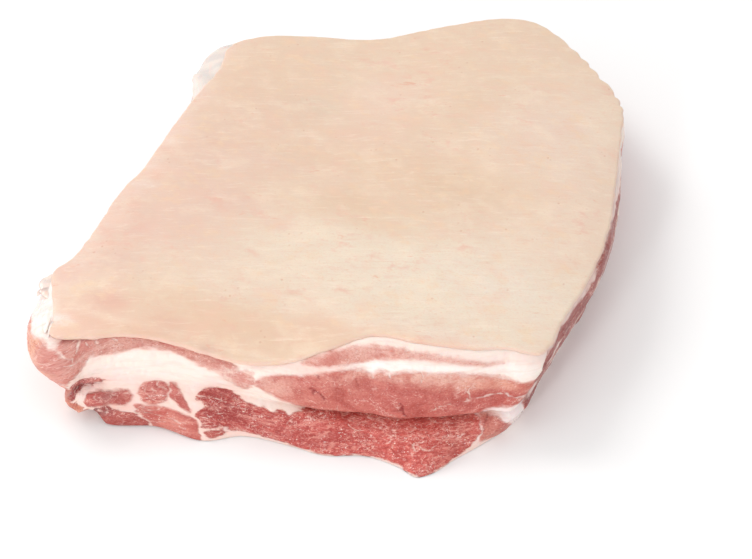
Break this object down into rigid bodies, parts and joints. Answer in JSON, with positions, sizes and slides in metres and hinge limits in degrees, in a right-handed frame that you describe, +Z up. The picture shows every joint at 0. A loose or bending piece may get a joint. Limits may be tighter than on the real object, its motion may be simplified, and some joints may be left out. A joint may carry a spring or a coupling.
{
  "type": "pork belly slab",
  "caption": "Whole boneless slab of raw pork belly lying rind side up, with one end cut square across the layered lean and fat.",
  "frame": {"origin": "centre of the slab's bounding box in plan, at the level of the surface that it lies on", "axes": "+X to the right along the cut front end, +Y along the slab away from that end, +Z up out of the rind"},
  "size_m": [0.3176, 0.4176, 0.0599],
  "materials": {
    "meat": "raw lean and fat in layers, damp satin",
    "rind": "scalded pork rind, pale cream with a pink cast, satin"
  },
  "bodies": {
    "root": {"pork_belly_slab": "meat"}
  },
  "joints": []
}
